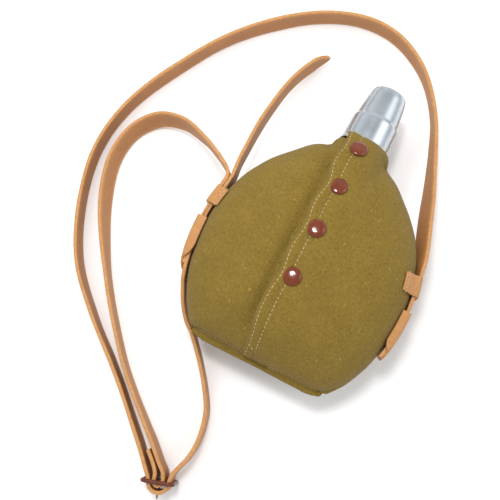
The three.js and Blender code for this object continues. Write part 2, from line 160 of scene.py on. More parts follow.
# Finishes
def newFinish(name, colour, roughness, metallic=0.0):
    material = bpy.data.materials.new(name)
    material.use_nodes = True
    surface = material.node_tree.nodes["Principled BSDF"]
    surface.inputs["Base Color"].default_value = (*colour, 1)
    surface.inputs["Roughness"].default_value = roughness
    surface.inputs["Metallic"].default_value = metallic
    return material, material.node_tree, surface


def node(tree, kind, **settings):
    made = tree.nodes.new(kind)
    for key, value in settings.items():
        setattr(made, key, value)
    return made


def objectNoise(tree, scale, detail=3.0, rough=0.55, stretch=None):
    coordinate = node(tree, "ShaderNodeTexCoord")
    source = coordinate.outputs["Object"]
    if stretch:
        mapping = node(tree, "ShaderNodeMapping")
        mapping.inputs["Scale"].default_value = stretch
        tree.links.new(source, mapping.inputs["Vector"])
        source = mapping.outputs["Vector"]
    made = node(tree, "ShaderNodeTexNoise")
    made.inputs["Scale"].default_value = scale
    made.inputs["Detail"].default_value = detail
    made.inputs["Roughness"].default_value = rough
    tree.links.new(source, made.inputs["Vector"])
    return made.outputs["Fac"]


def ramp(tree, source, low, high, fromValue=0.0, toValue=1.0):
    return rangeNode(tree, source, (low, high), (fromValue, toValue))


def tint(tree, share, first, second):
    made = node(tree, "ShaderNodeMix", data_type="RGBA")
    tree.links.new(share, made.inputs["Factor"])
    for socket, colour in (("A", first), ("B", second)):
        target = [s for s in made.inputs if s.name == socket and s.type == "RGBA"][0]
        if isinstance(colour, tuple):
            target.default_value = (*colour, 1)
        else:
            tree.links.new(colour, target)
    return [s for s in made.outputs if s.type == "RGBA"][0]


def bump(tree, height, strength, distance, under=None):
    made = node(tree, "ShaderNodeBump")
    made.inputs["Strength"].default_value = strength
    made.inputs["Distance"].default_value = distance
    tree.links.new(height, made.inputs["Height"])
    if under:
        tree.links.new(under, made.inputs["Normal"])
    return made.outputs["Normal"]


feltLook = {
    "dark": (0.183, 0.119, 0.020),
    "main": (0.204, 0.134, 0.0235),
    "light": (0.39, 0.275, 0.07),
    "deep": (0.095, 0.058, 0.009),
    "mottle": 60.0,
    "speckle": 620.0,
    "fibre": 1500.0,
}


def makeFelt():
    material, tree, surface = newFinish("woolFelt", feltLook["main"], 0.95)
    surface.inputs["Specular IOR Level"].default_value = 0.2
    surface.inputs["Sheen Weight"].default_value = 0.08
    surface.inputs["Sheen Roughness"].default_value = 0.45
    mottle = objectNoise(tree, feltLook["mottle"], 4.0, 0.6)
    speckle = objectNoise(tree, feltLook["speckle"], 4.0, 0.75)
    fibre = objectNoise(tree, feltLook["fibre"], 2.0, 0.6, (1.0, 0.35, 1.0))
    lint = objectNoise(tree, feltLook["speckle"] * 0.8, 1.0, 0.4, (1.0, 0.5, 1.0))
    patches = tint(tree, ramp(tree, mottle, 0.35, 0.68), feltLook["dark"], feltLook["main"])
    grains = tint(tree, ramp(tree, speckle, 0.5, 0.3, 0.0, 0.75), patches, feltLook["deep"])
    pale = tint(tree, ramp(tree, fibre, 0.52, 0.85, 0.0, 0.55), grains, feltLook["light"])
    flecks = tint(tree, ramp(tree, lint, 0.73, 0.78, 0.0, 0.5), pale, feltLook["light"])
    tree.links.new(flecks, surface.inputs["Base Color"])
    nap = bump(tree, speckle, 0.7, 0.0007)
    fuzz = bump(tree, fibre, 0.6, 0.00025, nap)
    tree.links.new(fuzz, surface.inputs["Normal"])
    return material


leatherLook = {
    "face": (0.42, 0.195, 0.066),
    "shade": (0.34, 0.140, 0.042),
    # edge: the lighter tone that paints a highlight on the straps' edges, as if lit there; also the colour
    # of the random specks.
    "edge": (0.57, 0.295, 0.108),
    "grain": 950.0,
    "cloud": 45.0,
}


def makeLeather():
    material, tree, surface = newFinish("saddleLeather", leatherLook["face"], 0.55)
    surface.inputs["Specular IOR Level"].default_value = 0.4
    cloud = objectNoise(tree, leatherLook["cloud"], 5.0, 0.7)
    fine = objectNoise(tree, leatherLook["grain"] * 0.6, 4.0, 0.7)
    body = tint(tree, ramp(tree, cloud, 0.35, 0.7), leatherLook["shade"], leatherLook["face"])
    specks = tint(tree, ramp(tree, fine, 0.45, 0.85, 0.0, 0.3), body, leatherLook["edge"])
    # Painted highlight: marked strap edges are painted lighter, as if lit. The loops carry the same mark
    # all over for their paler tone.
    lightAndPaleMark = node(tree, "ShaderNodeAttribute", attribute_name="edgeHighlightAndPaleness")
    highlightAndPaleTone = tint(tree, ramp(tree, fine, 0.35, 0.7), leatherLook["face"], leatherLook["edge"])
    whole = tint(tree, lightAndPaleMark.outputs["Fac"], specks, highlightAndPaleTone)
    tree.links.new(whole, surface.inputs["Base Color"])
    rough = ramp(tree, cloud, 0.3, 0.7, 0.46, 0.66)
    tree.links.new(rough, surface.inputs["Roughness"])
    coordinate = node(tree, "ShaderNodeTexCoord")
    cells = node(tree, "ShaderNodeTexVoronoi")
    cells.inputs["Scale"].default_value = leatherLook["grain"]
    tree.links.new(coordinate.outputs["Object"], cells.inputs["Vector"])
    creases = bump(tree, cloud, 0.4, 0.0006)
    tree.links.new(bump(tree, cells.outputs["Distance"], 0.3, 0.00012, creases), surface.inputs["Normal"])
    return material


def makeMetal(name, bright, dull, roughness, turnLines):
    material, tree, surface = newFinish(name, bright, roughness, 1.0)
    cloud = objectNoise(tree, 70.0, 2.0, 0.5)
    tree.links.new(tint(tree, ramp(tree, cloud, 0.3, 0.75), dull, bright), surface.inputs["Base Color"])
    tree.links.new(ramp(tree, cloud, 0.3, 0.7, roughness, roughness + 0.04), surface.inputs["Roughness"])
    lines = objectNoise(tree, 900.0, 2.0, 0.5, turnLines)
    tree.links.new(bump(tree, lines, 0.12, 0.00004), surface.inputs["Normal"])
    return material


def makeGloss(name, colour, deep, roughness, coat):
    material, tree, surface = newFinish(name, colour, roughness)
    surface.inputs["Specular IOR Level"].default_value = 0.25
    surface.inputs["Coat Weight"].default_value = coat
    surface.inputs["Coat Roughness"].default_value = 0.12
    wear = objectNoise(tree, 420.0, 4.0, 0.6)
    tree.links.new(tint(tree, ramp(tree, wear, 0.4, 0.75), colour, deep), surface.inputs["Base Color"])
    return material


def makeGrain(name, colour, roughness, grain, spread, dark, light, relief):
    material, tree, surface = newFinish(name, colour, roughness)
    pattern = objectNoise(tree, *grain)
    tree.links.new(tint(tree, ramp(tree, pattern, *spread), dark, light), surface.inputs["Base Color"])
    tree.links.new(bump(tree, pattern, *relief), surface.inputs["Normal"])
    return material


woolFelt = makeFelt()
saddleLeather = makeLeather()
spunAluminium = makeMetal("spunAluminium", (0.56, 0.61, 0.65), (0.50, 0.55, 0.59), 0.27, (0.02, 1.0, 0.02))
nickelPlate = makeMetal("nickelPlate", (0.66, 0.63, 0.57), (0.5, 0.47, 0.42), 0.3, (1.0, 1.0, 1.0))
brownEnamel = makeGloss("brownEnamel", (0.155, 0.027, 0.005), (0.10, 0.014, 0.003), 0.16, 0.6)
darkLacquer = makeGloss("darkLacquer", (0.10, 0.022, 0.009), (0.14, 0.04, 0.018), 0.34, 0.2)
prongSteel = makeMetal("prongSteel", (0.42, 0.38, 0.33), (0.25, 0.2, 0.16), 0.35, (1.0, 1.0, 1.0))
bottleCork = makeGrain("bottleCork", (0.5, 0.31, 0.15), 0.85, (260.0, 5.0, 0.75), (0.35, 0.6),
                       (0.2, 0.11, 0.05), (0.55, 0.36, 0.19), (0.6, 0.0008))
linenThread = makeGrain("linenThread", (0.5, 0.37, 0.19), 0.8, (1400.0, 2.0, 0.5), (0.35, 0.7),
                        (0.36, 0.26, 0.12), (0.62, 0.49, 0.28), (0.4, 0.0002))
print("finishes made")


# Mesh helpers. Sizes are in millimetres, and points become metres before they reach a mesh.
def addMesh(name, points, faces, material):
    mesh = bpy.data.meshes.new(name)
    mesh.from_pydata([tuple(map(float, p)) for p in points], [], faces)
    mesh.validate()
    mesh.materials.append(material)
    piece = bpy.data.objects.new(name, mesh)
    scene.collection.objects.link(piece)
    smooth(piece, 180)
    return piece


def smooth(piece, sharpAngle):
    mesh = piece.data
    mesh.polygons.foreach_set("use_smooth", [True] * len(mesh.polygons))
    if sharpAngle < 180:
        mesh.set_sharp_from_angle(angle=math.radians(sharpAngle))
    mesh.update()


def outward(piece, apart=1e-6):
    work = bmesh.new()
    work.from_mesh(piece.data)
    bmesh.ops.remove_doubles(work, verts=work.verts, dist=apart)
    bmesh.ops.recalc_face_normals(work, faces=work.faces)
    work.to_mesh(piece.data)
    work.free()
    piece.data.update()


def bakeModifiers(piece):
    depsgraph = bpy.context.evaluated_depsgraph_get()
    made = bpy.data.meshes.new_from_object(piece.evaluated_get(depsgraph))
    piece.modifiers.clear()
    old = piece.data
    piece.data = made
    made.name = piece.name
    bpy.data.meshes.remove(old)


def gridFaces(rows, columns, around=False, first=0):
    faces = []
    last = columns if around else columns - 1
    for r in range(rows - 1):
        for c in range(last):
            a = first + r * columns + c
            b = first + r * columns + (c + 1) % columns
            faces.append((a, b, b + columns, a + columns))
    return faces


def tubeFaces(rows, columns):
    # Walls of an open tube and a flat cap on each end.
    last = (rows - 1) * columns
    return gridFaces(rows, columns, True) + [tuple(range(columns)), tuple(range(last, last + columns))]


def settle(piece, body, slot, *nodeNames):
    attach(piece, body)
    if nodeNames:
        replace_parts(piece, *nodeNames)


def markEdges(piece, values):
    # The values paint the lighter leather tone: a painted highlight along the strap edges, and a paler tone
    # over the loops.
    marks = piece.data.attributes.new("edgeHighlightAndPaleness", "FLOAT", "POINT")
    marks.data.foreach_set("value", values)


def roundedProfile(points, radius, steps=4):
    # Each inner corner of a profile becomes a small curve.
    points = [Vector(p) for p in points]
    made = [points[0]]
    for before, corner, after in zip(points, points[1:], points[2:]):
        reach = min(radius, (corner - before).length * 0.45, (after - corner).length * 0.45)
        start = corner + (before - corner).normalized() * reach
        end = corner + (after - corner).normalized() * reach
        for i in range(steps + 1):
            t = i / steps
            made.append(start * (1 - t) ** 2 + corner * 2 * t * (1 - t) + end * t * t)
    made.append(points[-1])
    return made


def turnedPoints(profile, sides):
    turns = np.arange(sides) * 2 * math.pi / sides
    return [(r * math.cos(t), r * math.sin(t), h) for r, h in profile for t in turns]


def turnedPiece(name, profiles, sides, material, places, sharpAngle=50.0):
    # Each profile is turned once at every place, and each is a closed form in the same mesh.
    points, faces = [], []
    for place in places:
        for profile in profiles:
            start = len(points)
            points += [place @ Vector(p) for p in turnedPoints(profile, sides)]
            faces += gridFaces(len(profile), sides, True, start)
    piece = addMesh(name, points, faces, material)
    outward(piece)
    smooth(piece, sharpAngle)
    return piece


def unit(vectors):
    return vectors / np.linalg.norm(vectors, axis=-1, keepdims=True)


def distances(points):
    return np.concatenate([[0], np.cumsum(np.linalg.norm(np.diff(points, axis=0), axis=1))])


def bell(value, width):
    return np.exp(-(value / width) ** 2)


def softCurve(points, spacing):
    # A centripetal Catmull-Rom curve through the points, at even steps.
    p = np.array(points, float)
    p = np.vstack([2 * p[0] - p[1], p, 2 * p[-1] - p[-2]])
    made = []
    for a, b, c, d in zip(p, p[1:], p[2:], p[3:]):
        t1 = np.linalg.norm(b - a) ** 0.5
        t2 = t1 + np.linalg.norm(c - b) ** 0.5
        t3 = t2 + np.linalg.norm(d - c) ** 0.5
        for t in np.linspace(t1, t2, 24, endpoint=False):
            ab = a * (t1 - t) / t1 + b * t / t1
            bc = b * (t2 - t) / (t2 - t1) + c * (t - t1) / (t2 - t1)
            cd = c * (t3 - t) / (t3 - t2) + d * (t - t2) / (t3 - t2)
            abc = ab * (t2 - t) / t2 + bc * t / t2
            bcd = bc * (t3 - t) / (t3 - t1) + cd * (t - t1) / (t3 - t1)
            made.append(abc * (t2 - t) / (t2 - t1) + bcd * (t - t1) / (t2 - t1))
    made.append(p[-2])
    made = np.array(made)
    along = distances(made)
    count = max(2, round(along[-1] / spacing) + 1)
    even = np.linspace(0, along[-1], count)
    return np.stack([np.interp(even, along, made[:, i]) for i in range(3)], axis=1)


# Cover form, seen from the front, in millimetres from its bottom edge and its middle
cover = {
    "width": 158.0, "widest": 82.0, "shoulder": 170.4, "bottom": 98.0, "corner": 8.0, "fullness": 0.608,
    "thickness": 78.0, "power": 2.6, "felt": 2.0, "restHeight": 38.2, "collarTop": 179.4, "raise": 114.3,
    "flare": [(20, 112), (27, 124), (30.5, 136), (31.4, 148), (30.4, 160), (28, 167), (24.4, 173),
              (19.8, 179.4)],
    "softness": 14.0, "hem": 3.2, "hemHalf": 2.2, "hemFade": (18.0, 32.0), "waist": 5.4, "waistFade": 14.0,
    "crown": 5.0, "crownAt": 30.0, "crownReach": 15.0,
}


def ease(value, low, high):
    share = np.clip((np.asarray(value, float) - low) / (high - low), 0, 1)
    return share * share * (3 - 2 * share)


def bezier(a, b, c, count):
    t = np.linspace(0, 1, count, endpoint=False)[:, None]
    return np.array(a) * (1 - t) ** 2 + 2 * np.array(b) * t * (1 - t) + np.array(c) * t * t


def rightOutline(inset):
    half = cover["width"] / 2 - inset
    controlY = cover["widest"] * (1 - cover["fullness"])
    foot = cover["bottom"] / 2
    lean = Vector((cover["width"] / 2 - foot, controlY)).normalized()
    endX = foot + lean.x * cover["corner"] - inset * 0.85
    endY = lean.y * cover["corner"] + inset * 0.6
    flat = foot - cover["corner"]
    corner = bezier((flat, inset), (foot - inset * 0.7, inset), (endX, endY), 60)
    side = bezier((endX, endY), (half, controlY), (half, cover["widest"]), 200)
    turn = np.linspace(0, math.pi / 2, 300)
    topX = half * np.cos(turn)
    fuller = cover["crown"] * bell(np.maximum(topX - cover["crownAt"], 0), cover["crownReach"])
    rise = cover["shoulder"] - inset - cover["widest"]
    topY = cover["widest"] + rise * np.sin(turn) + fuller * np.sin(turn) ** 2
    top = np.stack([topX, topY], 1)
    base = np.stack([np.linspace(0, flat, 40, endpoint=False), np.full(40, inset)], 1)
    return np.vstack([base, corner, side, top])


def smoothFlare(grow):
    points = np.array(cover["flare"], float)
    points[:, 0] += grow
    for _ in range(3):
        quarter = points[:-1] * 0.75 + points[1:] * 0.25
        three = points[:-1] * 0.25 + points[1:] * 0.75
        mixed = np.stack([quarter, three], 1).reshape(-1, 2)
        points = np.vstack([points[:1], mixed, points[-1:]])
    return points


def hemRise(y, hem):
    return 1.17 * hem * (1 - np.clip(y / cover["widest"], 0, 1)) ** 4


class CoverForm:
    # Front half of the cover, drawn in by an inset, as a height over its mid plane.
    def __init__(self, inset=0.0, hem=0.0):
        self.inset, self.hem = inset, hem
        line = rightOutline(inset)
        self.turns = np.arctan2(line[:, 1] - cover["widest"], line[:, 0])
        self.reaches = np.hypot(line[:, 0], line[:, 1] - cover["widest"])
        self.sideX, self.sideY = line[40:, 0], line[40:, 1]
        self.flare = smoothFlare(-inset)

    def neckRadius(self, y):
        return np.interp(y, self.flare[:, 1], self.flare[:, 0], left=0.0)

    def neckAcross(self, y):
        narrowing = cover["waist"] * ease(cover["collarTop"] - np.asarray(y, float), 0, cover["waistFade"])
        return np.maximum(self.neckRadius(y) - narrowing, 0.0)

    def lowered(self, y):
        return np.maximum(self.inset, y - hemRise(y, self.hem))

    def halfWidth(self, y):
        y = np.asarray(y, float)
        plain = np.interp(y, self.sideY, self.sideX)
        low = np.interp(self.lowered(y), self.sideY, self.sideX)
        fade = 1 - ease(y, *cover["hemFade"])
        return np.maximum(low + (plain - low) * fade, self.neckAcross(y) * (y > 140))

    def height(self, x, y):
        x, y = np.broadcast_arrays(np.asarray(x, float), np.asarray(y, float))
        half = cover["width"] / 2 - self.inset
        up = cover["shoulder"] - self.inset - cover["widest"]
        down = cover["widest"] - self.inset
        lowY = self.lowered(y) - cover["widest"]
        r = np.maximum(np.hypot(x, lowY), 1e-6)
        reach = np.interp(np.arctan2(lowY, np.abs(x)), self.turns, self.reaches)
        rise = np.where(lowY > 0, up, down)
        oval = 1 / np.hypot(x / r / half, lowY / r / rise)
        share = np.clip(r / reach, 0, 1)
        for _ in range(14):
            share = np.clip(share - (share * (oval + (reach - oval) * share ** 2) - r)
                            / (oval + 3 * (reach - oval) * share ** 2), 0, 1)
        lens = (cover["thickness"] / 2 - self.inset) * np.sqrt(np.clip(1 - share ** cover["power"], 0, 1))
        across = np.maximum(self.neckAcross(y), 1e-6)
        neck = self.neckRadius(y) * np.sqrt(np.clip(1 - (x / across) ** 2, 0, None))
        k = cover["softness"]
        both = np.maximum(lens, neck)
        least = np.minimum(lens, neck)
        joined = both * (1 + (least / np.maximum(both, 1e-6)) ** k) ** (1 / k)
        if self.hem:
            near = np.clip(np.minimum(self.halfWidth(y) - np.abs(x), y) / cover["hemHalf"], 0, 1)
            rim = cover["hemHalf"] * np.sqrt(np.clip(1 - (1 - near) ** 2, 0, 1))
            rim = rim * (1 - ease(y, *cover["hemFade"]))
            joined = np.hypot(joined, rim) - 0.3 * np.minimum(joined, rim)
        return joined


felt = CoverForm(0.0, cover["hem"])


def seat(x, y, lift, side=1):
    # A point on the cover's front (side 1) or back (side -1), lifted off square to the surface, in metres.
    x, y = np.asarray(x, float), np.asarray(y, float)
    step = 0.4
    z = felt.height(x, y)
    slopeX = (felt.height(x + step, y) - felt.height(x - step, y)) / (2 * step)
    slopeY = (felt.height(x, y + step) - felt.height(x, y - step)) / (2 * step)
    normal = unit(np.stack([-slopeX, -slopeY, np.ones_like(z)], -1))
    point = np.stack([x, y, z], -1) + normal * np.asarray(lift)[..., None]
    return rowPoint(point[..., 0], point[..., 1], side * point[..., 2])


def rowPoint(x, y, z):
    return np.stack([x, np.asarray(y) - cover["raise"], np.asarray(z) + cover["restHeight"]], -1) * mm


# Strap. Routes run from the canteen outwards, in the frame's own axes.
strap = {
    "width": 18.0, "thick": 2.8, "round": 0.7, "step": 2.2,
    "anchorBottom": 42.5, "heldTop": 98.0, "inner": 1.7, "outer": 4.8, "tipTaper": 15.0,
    "pressed": 0.72, "innerPressed": 1.3, "outerPressed": 3.5, "joint": (96, 105), "tailEnd": (40.6, 52),
    "twist": 0.05, "thickVary": 0.09, "wideVary": 0.02, "sway": 0.25,
    "longLean": [(0, 0), (25, 22), (75, 22), (150, 0)],
    "shortLean": [(0, 0), (60, 0), (110, 16), (190, 16), (260, 0)],
    "long": [
        (74.9, 3, 38.2), (72.4, 13, 36.4), (66, 36, 29), (58, 65, 20), (47, 99, 12.5), (36, 125, 9.6),
        (21, 147, 9.4), (3, 163, 9.4), (-18, 173.5, 9.4), (-42, 176.5, 9.4), (-68, 171, 9.4),
        (-98, 155, 9.4), (-138, 119, 9.4), (-168, 73, 9.4), (-189, 26, 9.4), (-194, -14, 9.4),
        (-184, -59, 9.4), (-163, -101, 9.4), (-132, -133, 9.4), (-97, -161, 9.4), (-69, -185, 10.2),
        (-49.5, -202, 12.4),
    ],
    "short": [
        (-80, 1.5, 38.2), (-82.8, 6.2, 37.4), (-89, 11, 35), (-98, 16.5, 31.6), (-114, 24.5, 25),
        (-139, 31.5, 16), (-160, 27, 11), (-174, 10, 9.4), (-177.5, -16, 9.4), (-167, -51, 9.4),
        (-146, -88, 9.4), (-118, -125, 9.4), (-86, -160, 10), (-52.6, -187.6, 12.3),
        (-42, -195.8, 12.8),
    ],
    "tail": [
        (-15.9, -203, 12.8), (-13.4, -195, 12), (-12.4, -181, 10), (-17, -160, 9.4), (-27, -143.5, 9.8),
        (-38, -129.5, 12), (-46.4, -119.8, 15.4), (-52.6, -113, 18.2), (-60.2, -106.1, 22.2),
        (-67.6, -95.3, 28.2), (-73.4, -81.3, 34.2),
    ],
    "tip": [
        (-76.9, 3, 38.2), (-78.6, 16, 35.5), (-79.8, 30.3, 31), (-80.4, 61, 24), (-75.9, 100.8, 16),
        (-67.1, 124.7, 11.5), (-59.8, 135.6, 9.4),
    ],
}
buckle = {
    "place": (-0.0244, -0.2186, 0.0128), "turn": 18.4, "length": 25.7, "wire": 3.0, "window": 19.0,
    "bar": 1.5, "prong": 1.1, "prongLength": 12.8,
    "fold": [(-1, 12.6), (2.2, 8), (3.6, 3.8), (3.2, -0.6), (0.2, -3.3), (-2.8, -1.7), (-3.3, 1.6),
             (-3.1, 4.6), (-3.9, 8), (-5.7, 12), (-8.6, 17.2), (-11.2, 21.2)],
    "bend": [(-9.9, 6.5), (-7.7, 2.4), (-6.9, -1), (-5.7, -4.4), (-3, -6.7), (0.5, -7.4), (4, -6.7),
             (6.7, -4.2), (7.8, -0.4), (8.4, 3), (9.6, 7)],
}
buckleFrame = Matrix.Translation(buckle["place"]) @ Matrix.Rotation(math.radians(buckle["turn"]), 4, "Z")


def inMetres(points):
    return [tuple(value * mm for value in point) for point in points]


def inBuckle(points):
    return [tuple(buckleFrame @ Vector((x * mm, y * mm, 0))) for x, y in points]


def sideAt(y):
    # Half the cover's width at a height, and the way its outline faces there.
    slope = float(felt.halfWidth(y + 0.5) - felt.halfWidth(y - 0.5))
    return float(felt.halfWidth(y)), Vector((1, -slope)).normalized()


def sideLine(side, low, high, offset, count):
    # Points beside the cover at mid thickness, set off square to its outline.
    made = []
    for y in np.linspace(low, high, count):
        half, normal = sideAt(y)
        made.append(tuple(rowPoint(side * (half + normal.x * offset), y + normal.y * offset, 0)))
    return made


def strapSection(width, thick):
    # Corners first, so that the thin edges can be told from the faces.
    x, y, r = width / 2, thick / 2, min(strap["round"], thick * 0.3)
    right, top = x - r, y - r
    corner = []
    for cx, cy, start in ((right, top, 0), (-right, top, 90), (-right, -top, 180), (right, -top, 270)):
        for step in range(4):
            a = math.radians(start + step * 30)
            corner.append((cx + r * math.cos(a), cy + r * math.sin(a)))
        if start in (0, 180):
            side = 1 if start == 0 else -1
            corner += [(side * x * s, side * y) for s in (0.55, 0.18, -0.18, -0.55)]
        else:
            corner.append(((-1 if start == 90 else 1) * x, 0))
    return corner


def makeStrap(name, path, lean=None, taper=0.0, seed=0.0, thin=1.0):
    # The strap stands on its edge: its width follows the upright as far as the path lets it.
    path = np.array(path)
    ahead = unit(np.gradient(path, axis=0))
    along = distances(path) / mm
    section = strapSection(strap["width"], strap["thick"] * thin)
    points, edges = [], []
    for place, forward, s in zip(path, ahead, along):
        up = unit(np.array([0, 0, 1.0]) - forward * forward[2])
        out = np.cross(forward, up)
        angle = math.radians(float(np.interp(s, *zip(*lean)))) if lean else 0.0
        angle += strap["twist"] * noise.noise((s * 0.02, seed, 1.7))
        wide = up * math.cos(angle) + out * math.sin(angle)
        thickWay = np.cross(forward, wide)
        thickness = 1 + strap["thickVary"] * noise.noise((s * 0.05, seed, 5.1))
        breadth = 1 + strap["wideVary"] * noise.noise((s * 0.04, seed, 9.3))
        left = along[-1] - s
        if taper and left < taper:
            tip = left / taper
            breadth *= max(0.04, 0.45 * math.sqrt(max(0.0, 1 - (1 - tip) ** 2)) + 0.55 * tip)
        sway = strap["sway"] * noise.noise((s * 0.03, seed, 3.3))
        for across, off in section:
            points.append(place + (wide * across * breadth + thickWay * (off * thickness + sway)) * mm)
            # Points at the thin edges, and at the ends below, are marked for the painted highlight.
            edges.append(1.0 if abs(across) > strap["width"] / 2 - strap["round"] * 1.05 else 0.0)
    columns = len(section)
    edges[:columns] = edges[-columns:] = [1.0] * columns
    piece = addMesh(name, points, tubeFaces(len(path), columns), saddleLeather)
    markEdges(piece, edges)
    outward(piece)
    smooth(piece, 60)
    settle(piece, "canteen", "leather")
    return piece


def makeStraps():
    spacing = strap["step"] * mm
    starts = {name: sideLine(side, *strap["joint"], offset, 3) for name, side, offset in (
        ("long", 1, strap["inner"]), ("short", -1, strap["outer"]), ("tip", -1, strap["inner"]))}
    tailEnd = sideLine(-1, *strap["tailEnd"], strap["inner"], 3)
    routes = {name: start + inMetres(strap[name]) for name, start in starts.items()}
    tail = inMetres(strap["tail"]) + tailEnd
    longPath = softCurve(routes["long"] + inBuckle(buckle["bend"]) + tail, spacing)
    shortPath = softCurve(routes["short"] + inBuckle(buckle["fold"]), spacing)
    tipPath = softCurve(routes["tip"], spacing)
    longStrap = makeStrap("longStrap", longPath, strap["longLean"], seed=1.0)
    shortStrap = makeStrap("shortStrap", shortPath, strap["shortLean"], seed=4.0)
    tipStrap = makeStrap("strapTip", tipPath, taper=strap["tipTaper"], seed=7.0)
    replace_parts(longStrap, "strap_long", "strap_bend", "strap_tail", "strap_tail_low")
    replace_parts(shortStrap, "strap_short", "strap_fold")
    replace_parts(tipStrap, "strap_tip")
    for name, side, start, offset, seed, thin, nodeName in (
            ("heldRightEnd", 1, 4, strap["inner"], 2.0, 0.96, "strap_right_end"),
            ("heldLeftEnd", -1, 1.5, strap["outerPressed"], 5.0, strap["pressed"], "strap_left_end"),
            ("heldTail", -1, 1.5, strap["innerPressed"], 8.0, strap["pressed"], "strap_tail_side")):
        line = sideLine(side, strap["anchorBottom"] + start, strap["heldTop"], offset, 12)
        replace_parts(makeStrap(name, softCurve(line, spacing), seed=seed, thin=thin), nodeName)
    return (longStrap, longPath), (shortStrap, shortPath), (tipStrap, tipPath)


(longStrap, longPath), (shortStrap, shortPath), (tipStrap, tipPath) = makeStraps()
print("straps made", [round(float(distances(path)[-1]), 4) for path in (longPath, shortPath, tipPath)])


# Buckle, in its own frame: X along the frame, Y towards the canteen, Z up the centre bar
def makeWire(name, path, radius, sides, closed, material, shares=None, across=(0, 1.0, 0)):
    # A round wire; shares scale its radius along the path, and across is a way the path never takes.
    path, across = np.array(path, float), np.array(across)
    ahead = unit(np.roll(path, -1, 0) - np.roll(path, 1, 0) if closed else np.gradient(path, axis=0))
    points = []
    for i, (place, forward) in enumerate(zip(path, ahead)):
        side = unit(across - forward * (forward @ across))
        other = np.cross(forward, side)
        size = radius * (shares[i] if shares else 1.0)
        for step in range(sides):
            a = 2 * math.pi * step / sides
            points.append(place + size * (math.cos(a) * side + math.sin(a) * other))
    rows = len(path)
    if closed:
        last = (rows - 1) * sides
        faces = gridFaces(rows, sides, True)
        faces += [(last + i, last + (i + 1) % sides, (i + 1) % sides, i) for i in range(sides)]
    else:
        faces = tubeFaces(rows, sides)
    piece = addMesh(name, [buckleFrame @ (Vector(p) * mm) for p in points], faces, material)
    outward(piece)
    smooth(piece, 60)
    return piece


def roundedFrame(width, height, radius, steps):
    made = []
    for cx, cz, start in ((1, 1, 0), (-1, 1, 90), (-1, -1, 180), (1, -1, 270)):
        for i in range(steps + 1):
            a = math.radians(start + 90 * i / steps)
            made.append((cx * (width / 2 - radius) + radius * math.cos(a), 0,
                         cz * (height / 2 - radius) + radius * math.sin(a)))
    full = []
    for a, b in zip(made, made[1:] + made[:1]):
        gap = np.linalg.norm(np.subtract(b, a))
        parts = max(1, int(gap / 1.2))
        full += [tuple(np.add(a, np.subtract(b, a) * i / parts)) for i in range(parts)]
    return full


def makeBuckle():
    half = buckle["wire"] / 2
    loop = roundedFrame(buckle["length"] - 2 * half, buckle["window"] + 2 * half, 3.0, 6)
    wire = makeWire("buckleFrame", loop, half, 14, True, darkLacquer)
    settle(wire, "buckle", "buckle_metal", "buckle_frame")
    reach = buckle["window"] / 2 + 0.4
    line = [(0, 0, z) for z in np.linspace(-reach, reach, 16)]
    bar = makeWire("buckleBar", line, buckle["bar"], 16, False, darkLacquer)
    settle(bar, "buckle", "buckle_metal", "buckle_bar")
    eye = buckle["bar"] + 0.9
    ring = [(eye * math.cos(a), eye * math.sin(a), 0) for a in np.radians(np.linspace(-90, 235, 26))]
    arm = [(0, -y, 0) for y in np.linspace(eye, buckle["prongLength"], 16)]
    shares = [0.62] * (len(ring) - 1)
    shares += list(np.interp(np.linspace(0, 1, 16), [0, 0.15, 0.7, 1], [0.75, 1, 0.95, 0.35]))
    route = ring[::-1][:-1] + arm
    prong = makeWire("buckleProng", route, buckle["prong"], 10, False, prongSteel, shares, (0, 0, 1.0))
    settle(prong, "prong", "buckle_metal", "buckle_prong")
    return wire, bar, prong


buckleWire, buckleBar, buckleProng = makeBuckle()
print("buckle made")


# Felt panels
flap = {
    "free": -10.0, "sewn": 9.7, "low": 4.0, "lift": 4.2, "roll": 2.3, "easeTo": 30.0,
    "rowOuter": -6.9, "rowInner": -1.4, "snapHeights": [64.5, 100.6, 134.3, 166.0],
    "valley": 2.4, "swell": 2.6, "wave": 0.7, "scallop": 2.2, "scallopReach": 10.0,
    "ridge": 1.8, "ridgeAt": -6.5, "ridgeHalf": 3.2, "rowPress": 0.55, "rowHalf": 0.75,
    "snapPress": 0.9, "snapReach": 5.5, "ripple": 0.28,
}
slack = {
    "broad": 0.55, "broadSize": 42, "small": 0.2, "smallSize": 13, "pucker": 0.3,
    "hemPress": 1.5, "hemLine": 4.5, "hemWidth": 1.1, "hemHalf": 56,
}


def softNoise(x, y, size, seed):
    flat = [noise.noise((float(a) / size, float(b) / size, seed)) for a, b in zip(np.ravel(x), np.ravel(y))]
    return np.array(flat).reshape(np.shape(x))


def hang(x, y, seed):
    # Unevenness of felt that is stretched over a hard shell, and the pressed line of the hem's stitches.
    broad = slack["broad"] * softNoise(x, y, slack["broadSize"], seed)
    small = slack["small"] * softNoise(x, y, slack["smallSize"], seed + 3)
    alongHem = np.abs(x) < slack["hemHalf"]
    hemLine = -slack["hemPress"] * bell(y - slack["hemLine"], slack["hemWidth"]) * alongHem
    pucker = slack["pucker"] * softNoise(x * 2.2, y * 0.4, 9, seed + 7) * bell(y - 6, 7.0)
    return broad + small + hemLine + pucker


def edgeSway(x, y):
    # The free edge is pulled in at the snaps and bulges between them.
    near = np.min([np.abs(y - tall) for tall in flap["snapHeights"]], axis=0)
    bulge = flap["scallop"] * (1 - bell(near, flap["scallopReach"])) * ease(y, 12, 40)
    return (flap["wave"] * softNoise(x * 0, y, 30, 12) - bulge) * (1 - ease(x, -8, 2))


